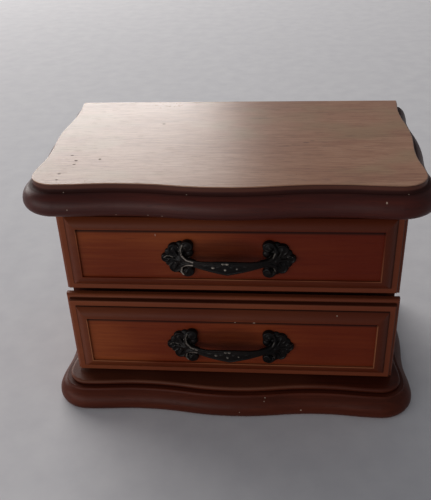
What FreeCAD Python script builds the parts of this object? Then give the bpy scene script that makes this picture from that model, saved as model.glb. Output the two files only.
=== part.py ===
"""A small wooden jewelry cabinet with a serpentine top and base and two drawers with cast bow pulls.

Millimetres, +Z up, front towards -Y, origin at the bottom centre of the whole cabinet.
The upper drawer is shut. The lower drawer stands a little way out, as it is left in use.
"""
import FreeCAD
import Part
import math
import os
import re
import Sketcher

Vector = FreeCAD.Vector

# Driving dimensions, in millimetres and degrees
SIZES = {
    # Top and base boards
    "base_width": 273.0,
    "base_thickness": 20.5,
    "base_side_overhang": 19.0,
    "top_side_setback": 2.0,
    "top_thickness": 25.5,
    "overall_depth": 162.0,
    "base_setback": 4.6,
    "front_wave": 5.2,
    "side_wave": 2.4,
    "corner_radius": 25.0,
    # Edge of the top: a rounded arris, a flat fillet, a cove, a quirk, a bullnose and a bevel below it
    "top_arris_inset": 8.2,
    "top_arris_round": 0.7,
    "top_fillet_height": 2.8,
    "top_cove_radius": 1.8,
    "top_quirk_width": 0.4,
    "top_nose_round": 6.0,
    "top_bevel_rise": 4.4,
    "top_bevel_run": 12.5,
    # Edge of the base: a bead, a ledge, a hollow and a round that meets the floor
    "bead_radius": 2.0,
    "bead_inset": 9.7,
    "ledge_rise": 0.4,
    "hollow_radius": 2.0,
    "torus_radius": 11.5,
    "ogee_lean": 60.0,
    "foot_inset": 1.8,
    # Drawer fronts: a thin lip, a raised strip, an ovolo and a flat panel sunk inside it
    "front_side_overlap": 2.5,
    "front_height": 70.5,
    "front_gap": 1.3,
    "lip_thickness": 5.0,
    "lip_width": 2.8,
    "lip_round": 2.2,
    "strip_width": 4.6,
    "strip_rise": 3.9,
    "strip_round": 1.0,
    "quirk_rise": 0.4,
    "ovolo_width": 7.6,
    "ovolo_rise": 4.3,
    "ovolo_bulge": 0.95,
    "arris_width": 0.6,
    "panel_recess": 1.6,
    # Carcass
    "side_thickness": 8.0,
    "top_front_overhang": 42.0,
    "back_overhang": 3.0,
    "back_thickness": 4.0,
    "rabbet_width": 4.0,
    "shelf_thickness": 6.0,
    "dado_depth": 3.0,
    "rail_thickness": 10.0,
    "rail_width": 24.0,
    # Drawer boxes and their running clearances
    "box_headroom": 2.6,
    "box_side_thickness": 6.0,
    "box_back_thickness": 6.0,
    "box_back_inset": 6.0,
    "box_rear_gap": 3.0,
    "tongue_depth": 4.0,
    "bottom_thickness": 3.0,
    "bottom_height": 6.0,
    "groove_depth": 3.0,
    "stop_gap": 0.2,
    "side_gap": 0.4,
    "run_gap": 0.3,
    "lower_ajar": 5.8,
    "lining_thickness": 1.5,
    "lining_gap": 0.2,
    # Cast pulls
    "pull_spacing": 64.0,
    "rosette_width": 24.0,
    "rosette_shift": 2.4,
    "pull_margin": 4.65,
    "pull_drop": 2.2,
    "rosette_thickness": 3.2,
    "plate_thickness": 2.0,
    "boss_radius": 6.0,
    "boss_height": 5.6,
    "boss_cap": 1.5,
    "bow_standoff": 10.5,
    "bow_height": 10.4,
    "bow_neck_height": 4.4,
    "bow_thickness": 3.4,
    "bow_drop": 2.0,
    # Screws and nails
    "pull_screw_diameter": 4.0,
    "pull_head_diameter": 8.0,
    "pull_head_height": 2.4,
    "wood_screw_diameter": 3.5,
    "wood_head_diameter": 7.0,
    "wood_head_height": 2.2,
    "base_screw_recess": 5.0,
    "base_screw_grip": 22.0,
    "base_screw_end": 18.0,
    "top_screw_grip": 12.0,
    "top_screw_spacing": 150.0,
    "nail_diameter": 1.4,
    "nail_head_diameter": 3.2,
    "nail_head_height": 0.7,
    "nail_grip": 9.0,
    "nail_end": 10.0,
    "screw_clearance": 0.1,
    # How far every cutting tool runs past the wood
    "overrun": 2.0,
}

# Sizes that follow from the driving ones
DERIVED = {
    "top_width": "base_width - 2 * top_side_setback",
    "carcass_width": "base_width - 2 * base_side_overhang",
    "front_width": "carcass_width + 2 * front_side_overlap",
    "moulding_width": "lip_width + strip_width + ovolo_width",
    "rosette_height": "front_height - 2 * (moulding_width + arris_width + pull_margin)",
    "rail_room": "front_height + 2 * front_gap - rail_thickness - wood_head_height",
    "box_height": "rail_room - run_gap - box_headroom",
    "pull_screw_engagement": "boss_height - boss_cap - screw_clearance",
}

# Crests and dips of the serpentine edge: where each lies along its edge and how far in it stands, as shares
FRONT_PLACE_SHARES = (0.0, 0.62, 1.0)
FRONT_INSET_SHARES = (0.0, 1.0, 0.6)
SIDE_PLACE_SHARES = (0.0, 0.22, 0.49, 0.82, 1.0)
SIDE_INSET_SHARES = (0.0, 1.0, 0.1, 1.25, 0.6)

# Lobes of a rosette, as shares of its half width and half height, then the radius as a share of its height
LOBE_SHARES = (
    (0.55, 0.70, 0.142),
    (-0.20, 0.50, 0.155),
    (-0.74, 0.03, 0.112),
    (-0.20, -0.48, 0.150),
    (0.56, -0.69, 0.140),
)
LOBE_TAPER_SHARE = 0.7
BOSS_TAPER_SHARE = 0.6
PLATE_SHARE = 0.76

# Half of the bow: place along the screw spacing, standoff, and swell from the neck to the middle, as shares
BOW_SHARES = (
    (1.0, 0.25, 0.0),
    (0.72, 0.70, 0.0),
    (0.40, 0.93, 0.40),
)
BOW_MIDDLE_SHARES = (0.0, 1.0, 1.0)

doc = FreeCAD.newDocument("jewelry_cabinet")
sizes = doc.addObject("Spreadsheet::Sheet", "sizes")
cells = [(alias, str(number)) for alias, number in SIZES.items()]
cells += [(alias, f"={formula}") for alias, formula in DERIVED.items()]
for row, (alias, content) in enumerate(cells, start=1):
    sizes.set(f"A{row}", alias)
    sizes.set(f"B{row}", content)
    sizes.setAlias(f"B{row}", alias)
doc.recompute()

nodes = []


# Formulas over the sheet


def tied(formula):
    """The formula with every size name pointing at its cell."""
    return re.sub(r"[a-z][a-z_]+", lambda word: "sizes." + word.group(), formula)


def value(formula):
    """The formula's number."""
    return float(sizes.evalExpression(tied(formula)))


def bind(thing, prop, formula):
    """Tie a property to the sheet."""
    thing.setExpression(prop, tied(formula))


PITCH = "(front_height + front_gap)"
TOP_UNDERSIDE = f"(base_thickness + 2 * {PITCH} + front_gap)"
FRONT_EDGE = "(-overall_depth / 2)"
BACK_EDGE = "(overall_depth / 2)"
CARCASS_FRONT = f"({FRONT_EDGE} + top_front_overhang)"
CARCASS_BACK = f"({BACK_EDGE} - back_overhang)"
CARCASS_DEPTH = f"({CARCASS_BACK} - {CARCASS_FRONT})"
BACK_FACE = f"({CARCASS_BACK} - back_thickness)"
OUTER_HALF = "(carcass_width / 2)"
INNER_HALF = "(carcass_width / 2 - side_thickness)"
BODY_HEIGHT = f"({TOP_UNDERSIDE} - base_thickness)"
SHELF_TOP = f"(base_thickness + {PITCH})"
RAIL_UNDERSIDE = f"({TOP_UNDERSIDE} - rail_thickness)"
REAR_RAIL_FRONT = f"({BACK_FACE} - rail_width)"

FRONT_THICKNESS = "(lip_thickness + strip_rise + quirk_rise + ovolo_rise)"
PANEL_THICKNESS = f"({FRONT_THICKNESS} - panel_recess)"
BOX_HALF = f"({INNER_HALF} - side_gap)"
TRAY_HALF = f"({BOX_HALF} - box_side_thickness)"
BOX_LENGTH = f"({BACK_FACE} - box_rear_gap - {CARCASS_FRONT} + stop_gap)"
BOX_BACK_REAR = f"({BOX_LENGTH} - box_back_inset)"
BOX_BACK_FRONT = f"({BOX_BACK_REAR} - box_back_thickness)"


# Simple solids


def place(thing, corner):
    """Put a solid's own origin at a point given by three formulas."""
    for axis, formula in zip("xyz", corner):
        bind(thing, f"Placement.Base.{axis}", formula)


def board(label, corner, lengths):
    """A squared board from its low corner and its three lengths."""
    box = doc.addObject("Part::Box", label)
    for prop, formula in zip(("Length", "Width", "Height"), lengths):
        bind(box, prop, formula)
    place(box, corner)
    return box


# Turns from +Z to the axis that a round solid lies along
TURNS = {
    "up": FreeCAD.Rotation(),
    "front": FreeCAD.Rotation(Vector(1, 0, 0), 90),
}


def rod(label, start, heading, diameter, length):
    """A round rod from a start point, along a heading."""
    cylinder = doc.addObject("Part::Cylinder", label)
    bind(cylinder, "Radius", f"({diameter}) / 2")
    bind(cylinder, "Height", length)
    cylinder.Placement = FreeCAD.Placement(Vector(), TURNS[heading])
    place(cylinder, start)
    return cylinder


def frustum(label, start, heading, low_radius, high_radius, height):
    """A truncated cone from a start point, along a heading."""
    cone = doc.addObject("Part::Cone", label)
    bind(cone, "Radius1", low_radius)
    bind(cone, "Radius2", high_radius)
    bind(cone, "Height", height)
    cone.Placement = FreeCAD.Placement(Vector(), TURNS[heading])
    place(cone, start)
    return cone


def fused(label, pieces):
    """Several overlapping solids as one."""
    union = doc.addObject("Part::MultiFuse", label)
    union.Shapes = pieces
    return union


def cut(label, base, tools):
    """A solid with the tools taken out of it."""
    result = doc.addObject("Part::Cut", label)
    result.Base = base
    result.Tool = tools[0] if len(tools) == 1 else fused(f"{label}_tools", tools)
    return result


def group(label, pieces):
    """Separate solids kept as one node."""
    compound = doc.addObject("Part::Compound", label)
    compound.Links = pieces
    return compound


def keep(label, thing):
    """Name a finished sub-part, which also names its file."""
    thing.Label = label
    nodes.append(thing)


# Sketches


def new_sketch(body, label, role):
    """A sketch on one of the body's own planes."""
    sketch = body.newObject("Sketcher::SketchObject", label)
    support = next(item for item in body.Origin.OriginFeatures if item.Role == role)
    sketch.AttachmentSupport = [(support, "")]
    sketch.MapMode = "FlatFace"
    return sketch


def chain(sketch, points, closed=True):
    """Lines and arcs through points: a pair of points is an arc's middle and its end."""
    flat = [points[0]]
    for step in points[1:]:
        start = flat[-1]
        if isinstance(step, tuple):
            middle, end = step
            sketch.addGeometry(Part.Arc(start, middle, end))
        else:
            end = step
            sketch.addGeometry(Part.LineSegment(start, end))
        flat.append(end)
    if closed:
        sketch.addGeometry(Part.LineSegment(flat[-1], flat[0]))


def mapped(points, move):
    """The same chain with every point moved."""
    return [tuple(move(p) for p in step) if isinstance(step, tuple) else move(step) for step in points]


def reversed_chain(points):
    """The same chain from its far end."""
    ends = [step[1] if isinstance(step, tuple) else step for step in points]
    turned = [ends[-1]]
    for end, step in zip(reversed(ends[:-1]), reversed(points[1:])):
        turned.append((step[0], end) if isinstance(step, tuple) else end)
    return turned


def turned_arc(start, middle, angle):
    """The two further points of an arc that leaves start and turns about middle by an angle."""
    spoke = start - middle
    half = FreeCAD.Rotation(Vector(0, 0, 1), math.degrees(angle) / 2)
    return (middle + half.multVec(spoke), middle + half.multVec(half.multVec(spoke)))


# Serpentine outline


def wave(start, end, along):
    """Two equal arcs from a crest to a dip, both level with the edge at their outer ends."""
    run = (end - start).dot(along)
    drop = (end - start) - along * run
    if drop.Length == 0:
        return [end]
    radius = (run * run + drop.Length ** 2) / (4 * drop.Length)
    half_turn = math.atan2(drop.Length, run)
    inward = drop / drop.Length
    short = along * (radius * math.sin(half_turn)) + inward * (radius * (1 - math.cos(half_turn)))
    middle = (start + end) / 2
    return [(start + short, middle), (end - short, end)]


def serpentine(width, front_inset):
    """Right half of a board's edge, from the middle of the front round to the back, as chain points."""
    half_width = value(width) / 2
    front = value(FRONT_EDGE) + front_inset
    back = value(BACK_EDGE)
    radius = value("corner_radius")
    front_wave = value("front_wave")
    side_wave = value("side_wave")
    crests = []
    for share, inset in zip(FRONT_PLACE_SHARES, FRONT_INSET_SHARES):
        crests.append(Vector(share * (half_width - radius), front + inset * front_wave, 0))
    side_start = crests[-1].y + radius
    flanks = []
    for share, inset in zip(SIDE_PLACE_SHARES, SIDE_INSET_SHARES):
        flanks.append(Vector(half_width - inset * side_wave, side_start + share * (back - side_start), 0))
    path = [crests[0]]
    for start, end in zip(crests, crests[1:]):
        path += wave(start, end, Vector(1, 0, 0))
    path.append(turned_arc(crests[-1], crests[-1] + Vector(0, radius, 0), math.pi / 2))
    for start, end in zip(flanks, flanks[1:]):
        path += wave(start, end, Vector(0, 1, 0))
    return path


def whole_edge(half):
    """The right half and its mirror image as one run from the right back corner to the left back corner."""
    return reversed_chain(half) + mapped(half, lambda p: Vector(-p.x, p.y, p.z))[1:]


def moulded_board(label, width, thickness, front_inset, height, profile):
    """A serpentine board with an edge moulding run round its front and sides."""
    body = doc.addObject("PartDesign::Body", f"{label}_body")
    edge = whole_edge(serpentine(width, front_inset))
    outline = new_sketch(body, f"{label}_outline", "XY_Plane")
    chain(outline, edge)
    pad = body.newObject("PartDesign::Pad", f"{label}_blank")
    pad.Profile = outline
    bind(pad, "Length", thickness)
    path = new_sketch(body, f"{label}_path", "XY_Plane")
    past = Vector(0, value("overrun"), 0)
    chain(path, [edge[0] + past] + edge + [edge[-1][1] + past], closed=False)
    section = new_sketch(body, f"{label}_profile", "XZ_Plane")
    bind(section, "AttachmentOffset.Base.z", f"-({BACK_EDGE} + overrun)")
    chain(section, profile(edge[0].x))
    sweep = body.newObject("PartDesign::SubtractivePipe", f"{label}_moulding")
    sweep.Profile = section
    sweep.Spine = path
    bind(body, "Placement.Base.z", height)
    return body


def top_profile(edge):
    """What the moulding takes off the top: outside the bevel, the bullnose, the cove and the fillet."""
    thickness = value("top_thickness")
    inset = value("top_arris_inset")
    arris = value("top_arris_round")
    cove = value("top_cove_radius")
    nose = value("top_nose_round")
    rise = value("top_bevel_rise")
    run = value("top_bevel_run")
    over = value("overrun")
    widest = rise + nose
    quirk_out = inset - cove - value("top_quirk_width")
    quirk_height = thickness - arris - value("top_fillet_height") - cove
    climb = quirk_height - widest
    sweep = (quirk_out ** 2 + climb ** 2) / (2 * quirk_out)
    half_turn = math.atan2(quirk_out, climb)
    diagonal = math.sin(math.radians(45))

    def at(inward, up):
        return Vector(edge - inward, up, 0)

    return [
        at(run, 0),
        at(nose, rise),
        (at(nose - nose * diagonal, widest - nose * diagonal), at(0, widest)),
        (at(sweep - sweep * math.cos(half_turn), widest + sweep * math.sin(half_turn)),
         at(quirk_out, quirk_height)),
        at(inset - cove, quirk_height),
        (at(inset - cove + cove * diagonal, quirk_height + cove - cove * diagonal),
         at(inset, quirk_height + cove)),
        at(inset, thickness - arris),
        (at(inset + arris - arris * diagonal, thickness - arris + arris * diagonal),
         at(inset + arris, thickness)),
        at(inset + arris, thickness + over),
        at(-over, thickness + over),
        at(-over, -over),
        at(run, -over),
    ]


def base_profile(edge):
    """What the moulding takes off the base: outside the bead, the ledge, the hollow and the round."""
    thickness = value("base_thickness")
    bead = value("bead_radius")
    bead_edge = value("bead_inset + bead_radius")
    torus = value("torus_radius")
    hollow = value("hollow_radius")
    lean = math.radians(value("ogee_lean"))
    foot = value("foot_inset")
    over = value("overrun")
    ledge = thickness - 2 * bead
    torus_height = ledge - value("ledge_rise") - (torus + hollow) * math.sin(lean)
    foot_turn = math.atan2(foot, torus_height)
    foot_radius = (torus_height ** 2 + foot ** 2) / (2 * foot)

    def at(inward, up):
        return Vector(edge - inward, up, 0)

    def on_torus(angle):
        return at(torus - torus * math.cos(angle), torus_height + torus * math.sin(angle))

    hollow_middle_in = torus - (torus + hollow) * math.cos(lean)
    hollow_middle_up = torus_height + (torus + hollow) * math.sin(lean)

    def on_hollow(angle):
        return at(hollow_middle_in + hollow * math.cos(angle), hollow_middle_up - hollow * math.sin(angle))

    foot_in = foot_radius - foot_radius * math.cos(foot_turn)
    foot_up = torus_height - foot_radius * math.sin(foot_turn)
    return [
        at(foot, 0),
        (at(foot_in, foot_up), at(0, torus_height)),
        (on_torus(lean / 2), on_torus(lean)),
        (on_hollow(lean / 2), on_hollow(0)),
        at(hollow_middle_in + hollow, ledge),
        at(bead_edge, ledge),
        (at(bead_edge - bead, ledge + bead), at(bead_edge, thickness)),
        at(bead_edge, thickness + over),
        at(-over, thickness + over),
        at(-over, -over),
        at(foot, -over),
    ]


# Top and base boards


top_screw_places = []
for screw_y in (f"{CARCASS_FRONT} + rail_width / 2", f"{BACK_FACE} - rail_width / 2"):
    for screw_x in ("-top_screw_spacing / 2", "top_screw_spacing / 2"):
        top_screw_places.append((screw_x, screw_y))

base_screw_places = []
for screw_y in (f"{CARCASS_FRONT} + base_screw_end", f"{CARCASS_BACK} - base_screw_end"):
    for screw_x in (f"-({OUTER_HALF} - side_thickness / 2)", f"{OUTER_HALF} - side_thickness / 2"):
        base_screw_places.append((screw_x, screw_y))

WOOD_HOLE = "wood_screw_diameter + 2 * screw_clearance"
WOOD_HEAD_HOLE = "wood_head_diameter + 2 * screw_clearance"
TOP_SCREW_LENGTH = "(rail_thickness + top_screw_grip)"
BASE_SCREW_LENGTH = "(base_thickness - base_screw_recess + base_screw_grip)"


def top_board():
    """The thick serpentine top, bored from below for its screws."""
    blank = moulded_board("top_board", "top_width", "top_thickness", 0, TOP_UNDERSIDE, top_profile)
    bores = []
    for number, (x, y) in enumerate(top_screw_places):
        bores.append(rod(f"top_bore_{number}", (x, y, f"{TOP_UNDERSIDE} - overrun"), "up",
                         WOOD_HOLE, "overrun + top_screw_grip + screw_clearance"))
    keep("top_board", cut("top_board_bored", blank, bores))


def base_board():
    """The serpentine base, bored and counterbored from below."""
    blank = moulded_board("base_board", "base_width", "base_thickness", value("base_setback"),
                          "0 * base_thickness", base_profile)
    bores = []
    for number, (x, y) in enumerate(base_screw_places):
        bores.append(rod(f"base_bore_{number}", (x, y, "-overrun"), "up",
                         WOOD_HOLE, "base_thickness + 2 * overrun"))
        bores.append(rod(f"base_counterbore_{number}", (x, y, "-overrun"), "up",
                         WOOD_HEAD_HOLE, "base_screw_recess + overrun"))
    keep("base_board", cut("base_board_bored", blank, bores))


# Carcass


NAIL_HEIGHTS = (
    "base_thickness + base_screw_grip + nail_end",
    f"{SHELF_TOP} + nail_end",
    f"{RAIL_UNDERSIDE} - nail_end",
)
nail_places = []
for nail_x in (f"-({INNER_HALF} + rabbet_width / 2)", f"{INNER_HALF} + rabbet_width / 2"):
    for nail_height in NAIL_HEIGHTS:
        nail_places.append((nail_x, nail_height))


def side(label, sign):
    """A carcass side with housings for the shelf and the rails, and a rabbet for the back."""
    low = f"-{OUTER_HALF}" if sign < 0 else INNER_HALF
    housing = f"-{INNER_HALF} - dado_depth" if sign < 0 else INNER_HALF
    rabbet = f"-{INNER_HALF} - rabbet_width" if sign < 0 else INNER_HALF
    blank = board(f"{label}_blank", (low, CARCASS_FRONT, "base_thickness"),
                  ("side_thickness", CARCASS_DEPTH, BODY_HEIGHT))
    tools = [
        board(f"{label}_rabbet", (rabbet, BACK_FACE, "base_thickness"),
              ("rabbet_width", "back_thickness", BODY_HEIGHT)),
        board(f"{label}_shelf_housing", (housing, CARCASS_FRONT, f"{SHELF_TOP} - shelf_thickness"),
              ("dado_depth", f"{BACK_FACE} - {CARCASS_FRONT}", "shelf_thickness")),
        board(f"{label}_front_housing", (housing, CARCASS_FRONT, RAIL_UNDERSIDE),
              ("dado_depth", "rail_width", "rail_thickness")),
        board(f"{label}_rear_housing", (housing, REAR_RAIL_FRONT, RAIL_UNDERSIDE),
              ("dado_depth", "rail_width", "rail_thickness")),
    ]
    for number, (x, y) in enumerate(base_screw_places):
        if value(x) * sign > 0:
            tools.append(rod(f"{label}_screw_bore_{number}", (x, y, "base_thickness - overrun"), "up",
                             WOOD_HOLE, "base_screw_grip + overrun + screw_clearance"))
    for number, (x, z) in enumerate(nail_places):
        if value(x) * sign > 0:
            tools.append(rod(f"{label}_nail_bore_{number}", (x, BACK_FACE, z), "front",
                             "nail_diameter + 2 * screw_clearance", "nail_grip + screw_clearance"))
    keep(label, cut(f"{label}_housed", blank, tools))


def back_panel():
    """The thin back, set in the rabbets of the sides and drilled for its nails."""
    blank = board("back_panel_blank", (f"-{INNER_HALF} - rabbet_width", BACK_FACE, "base_thickness"),
                  (f"2 * ({INNER_HALF} + rabbet_width)", "back_thickness", BODY_HEIGHT))
    bores = []
    for number, (x, z) in enumerate(nail_places):
        bores.append(rod(f"back_bore_{number}", (x, f"{CARCASS_BACK} + overrun", z), "front",
                         "nail_diameter + 2 * screw_clearance", "back_thickness + 2 * overrun"))
    keep("back_panel", cut("back_panel_drilled", blank, bores))


def cross_board(label, front, depth, low, height):
    """A board from side to side, its ends in the housings."""
    return board(label, (f"-{INNER_HALF} - dado_depth", front, low),
                 (f"2 * ({INNER_HALF} + dado_depth)", depth, height))


def shelf_and_rails():
    """The shelf between the drawers and the two rails under the top."""
    shelf = cross_board("divider_shelf_board", CARCASS_FRONT, f"{BACK_FACE} - {CARCASS_FRONT}",
                        f"{SHELF_TOP} - shelf_thickness", "shelf_thickness")
    keep("divider_shelf", shelf)
    for label, front in (("front_top_rail", CARCASS_FRONT), ("rear_top_rail", REAR_RAIL_FRONT)):
        blank = cross_board(f"{label}_board", front, "rail_width", RAIL_UNDERSIDE, "rail_thickness")
        bores = []
        for number, (x, y) in enumerate(top_screw_places):
            if value(front) < value(y) < value(f"{front} + rail_width"):
                bores.append(rod(f"{label}_bore_{number}", (x, y, f"{RAIL_UNDERSIDE} - overrun"), "up",
                                 WOOD_HOLE, "rail_thickness + 2 * overrun"))
        keep(label, cut(f"{label}_drilled", blank, bores))


def headed_pin(label, seat, heading, diameter, length, head_diameter, head_height):
    """A screw or nail: a shank that starts on its seat and a round head behind the seat."""
    opposite = {"up": "-1", "front": "1"}[heading]
    head_start = list(seat)
    axis = 2 if heading == "up" else 1
    head_start[axis] = f"{seat[axis]} + {opposite} * {head_height}"
    shank = rod(f"{label}_shank", seat, heading, diameter, length)
    head = rod(f"{label}_head", head_start, heading, head_diameter, head_height)
    return fused(label, [shank, head])


def carcass_fasteners():
    """Screws for the top and the base, and nails for the back."""
    pins = []
    for number, (x, y) in enumerate(top_screw_places):
        pins.append(headed_pin(f"top_screw_{number}", (x, y, RAIL_UNDERSIDE), "up", "wood_screw_diameter",
                               TOP_SCREW_LENGTH, "wood_head_diameter", "wood_head_height"))
    keep("top_screws", group("top_screw_group", pins))
    pins = []
    for number, (x, y) in enumerate(base_screw_places):
        pins.append(headed_pin(f"base_screw_{number}", (x, y, "base_screw_recess"), "up",
                               "wood_screw_diameter", BASE_SCREW_LENGTH, "wood_head_diameter",
                               "wood_head_height"))
    keep("base_screws", group("base_screw_group", pins))
    pins = []
    for number, (x, z) in enumerate(nail_places):
        pins.append(headed_pin(f"back_nail_{number}", (x, CARCASS_BACK, z), "front", "nail_diameter",
                               "back_thickness + nail_grip", "nail_head_diameter", "nail_head_height"))
    keep("back_nails", group("back_nail_group", pins))


# Drawers


def front_edge():
    """Section through the edge of a drawer front, from the lip to the arris: x inwards, y forwards."""
    lip = value("lip_thickness")
    lip_round = value("lip_round")
    strip_start = value("lip_width")
    strip_end = value("lip_width + strip_width")
    strip_level = value("lip_thickness + strip_rise")
    strip_round = value("strip_round")
    ovolo_foot = value("lip_thickness + strip_rise + quirk_rise")
    diagonal = math.sin(math.radians(45))
    lip_corner = Vector(lip_round, lip - lip_round, 0)
    strip_corner = Vector(strip_start + strip_round, strip_level - strip_round, 0)
    outward = Vector(-diagonal, diagonal, 0)
    foot = Vector(strip_end, ovolo_foot, 0)
    arris = Vector(value("moulding_width"), value(FRONT_THICKNESS), 0)
    chord = arris - foot
    bulge = Vector(-chord.y, chord.x, 0) / chord.Length * value("ovolo_bulge")
    return [
        Vector(0, lip - lip_round, 0),
        (lip_corner + outward * lip_round, Vector(lip_round, lip, 0)),
        Vector(strip_start, lip, 0),
        Vector(strip_start, strip_level - strip_round, 0),
        (strip_corner + outward * strip_round, Vector(strip_start + strip_round, strip_level, 0)),
        Vector(strip_end, strip_level, 0),
        foot,
        ((foot + arris) / 2 + bulge, arris),
    ]


def centred_rectangle(sketch, width, height, low):
    """A rectangle centred on the sketch's upright axis, tied to the sheet."""
    half = value(width) / 2
    bottom = value(low)
    top = bottom + value(height)
    lows = [Vector(-half, bottom, 0), Vector(half, bottom, 0)]
    highs = [Vector(half, top, 0), Vector(-half, top, 0)]
    corners = lows + highs
    for start, end in zip(corners, corners[1:] + corners[:1]):
        sketch.addGeometry(Part.LineSegment(start, end))
    for line in range(4):
        sketch.addConstraint(Sketcher.Constraint("Coincident", line, 2, (line + 1) % 4, 1))
    for line, direction in enumerate(("Vertical", "Horizontal", "Vertical"), start=1):
        sketch.addConstraint(Sketcher.Constraint(direction, line))
    sketch.addConstraint(Sketcher.Constraint("Symmetric", 0, 1, 0, 2, -2))
    width_rule = sketch.addConstraint(Sketcher.Constraint("DistanceX", 0, 1, 0, 2, value(width)))
    height_rule = sketch.addConstraint(Sketcher.Constraint("DistanceY", 1, 1, 1, 2, value(height)))
    sketch.setExpression(f"Constraints[{width_rule}]", tied(width))
    sketch.setExpression(f"Constraints[{height_rule}]", tied(height))
    if bottom == 0:
        sketch.addConstraint(Sketcher.Constraint("PointOnObject", 0, 1, -1))
    else:
        low_rule = sketch.addConstraint(Sketcher.Constraint("DistanceY", -1, 1, 0, 1, bottom))
        sketch.setExpression(f"Constraints[{low_rule}]", tied(low))


def moulded_front(label, origin):
    """A drawer front: a board moulded along all four edges, with a sunk panel."""
    body = doc.addObject("PartDesign::Body", f"{label}_body")
    half = value("front_width") / 2
    height = value("front_height")
    over = value("overrun")
    edge = front_edge()
    arris = edge[-1][1]

    # Plan section with both upright edges moulded
    plan = new_sketch(body, f"{label}_plan", "XY_Plane")
    left = mapped(edge, lambda p: Vector(p.x - half, -p.y, 0))
    right = mapped(reversed_chain(edge), lambda p: Vector(half - p.x, -p.y, 0))
    chain(plan, [Vector(-half, 0, 0)] + left + right + [Vector(half, 0, 0)])
    pad = body.newObject("PartDesign::Pad", f"{label}_blank")
    pad.Profile = plan
    bind(pad, "Length", "front_height")

    # The same moulding cut along the bottom and the top
    clear = arris.y + over
    waste = edge + [Vector(arris.x, clear, 0), Vector(-over, clear, 0), Vector(-over, edge[0].y, 0)]
    cutter = new_sketch(body, f"{label}_cutter", "YZ_Plane")
    bind(cutter, "AttachmentOffset.Base.z", "front_width / 2 + overrun")
    chain(cutter, mapped(waste, lambda p: Vector(-p.y, p.x, 0)))
    chain(cutter, mapped(waste, lambda p: Vector(-p.y, height - p.x, 0)))
    mould = body.newObject("PartDesign::Pocket", f"{label}_moulding")
    mould.Profile = cutter
    bind(mould, "Length", "front_width + 2 * overrun")

    # Panel
    panel = new_sketch(body, f"{label}_panel", "XZ_Plane")
    bind(panel, "AttachmentOffset.Base.z", FRONT_THICKNESS)
    border = "(moulding_width + arris_width)"
    centred_rectangle(panel, f"front_width - 2 * {border}", f"front_height - 2 * {border}", border)
    recess = body.newObject("PartDesign::Pocket", f"{label}_recess")
    recess.Profile = panel
    bind(recess, "Length", "panel_recess")
    place(body, origin)
    return body


def leaf_plate(label, centre):
    """The oval plate behind a rosette, which carries its lobes."""
    body = doc.addObject("PartDesign::Body", f"{label}_body")
    half_width = value("rosette_width") / 2 * PLATE_SHARE
    half_height = value("rosette_height") / 2 * PLATE_SHARE

    def at(quarters):
        turn = quarters * math.pi / 2
        return Vector(half_width * math.cos(turn), half_height * math.sin(turn), 0)

    outline = new_sketch(body, f"{label}_outline", "XZ_Plane")
    arcs = [(at(quarter + 1 / 2), at(quarter + 1)) for quarter in range(4)]
    chain(outline, [at(0)] + arcs, closed=False)
    pad = body.newObject("PartDesign::Pad", f"{label}_pad")
    pad.Profile = outline
    bind(pad, "Length", "plate_thickness")
    place(body, centre)
    return body


def rosette(label, sign, face, middle):
    """A leaf plate with tapered lobes and a boss for the screw, cast in one with the bow."""
    centre = "(pull_spacing / 2 + rosette_shift)"
    pieces = [leaf_plate(f"{label}_plate", (f"{sign} * {centre}", face, middle))]
    for number, (across, up, radius) in enumerate(LOBE_SHARES):
        x = f"{sign} * ({centre} - {across} * rosette_width / 2)"
        z = f"{middle} + {up} * rosette_height / 2"
        pieces.append(frustum(f"{label}_lobe_{number}", (x, face, z), "front", f"{radius} * rosette_height",
                              f"{radius} * {LOBE_TAPER_SHARE} * rosette_height", "rosette_thickness"))
    pieces.append(frustum(f"{label}_boss", (f"{sign} * pull_spacing / 2", face, middle), "front",
                          "boss_radius", f"{BOSS_TAPER_SHARE} * boss_radius", "boss_height"))
    return pieces


def bow(label, face, middle):
    """The bow between the rosettes: a loft of ellipses that swells in the middle."""
    left = [(-along, off, swell) for along, off, swell in BOW_SHARES]
    right = [shares for shares in reversed(BOW_SHARES)]
    upright = FreeCAD.Rotation(Vector(0, 0, 1), Vector(0, 1, 0), Vector(-1, 0, 0), "XYZ")
    sections = []
    for number, (along, off, swell) in enumerate(left + [BOW_MIDDLE_SHARES] + right):
        section = doc.addObject("Part::Ellipse", f"{label}_section_{number}")
        bind(section, "MajorRadius", f"(bow_neck_height + {swell} * (bow_height - bow_neck_height)) / 2")
        bind(section, "MinorRadius", "bow_thickness / 2")
        section.Placement = FreeCAD.Placement(Vector(), upright)
        place(section, (f"{along} * pull_spacing / 2", f"{face} - {off} * bow_standoff",
                        f"{middle} - {swell} * bow_drop"))
        sections.append(section)
    loft = doc.addObject("Part::Loft", f"{label}_loft")
    loft.Sections = sections
    loft.Solid = True
    return loft


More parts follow.
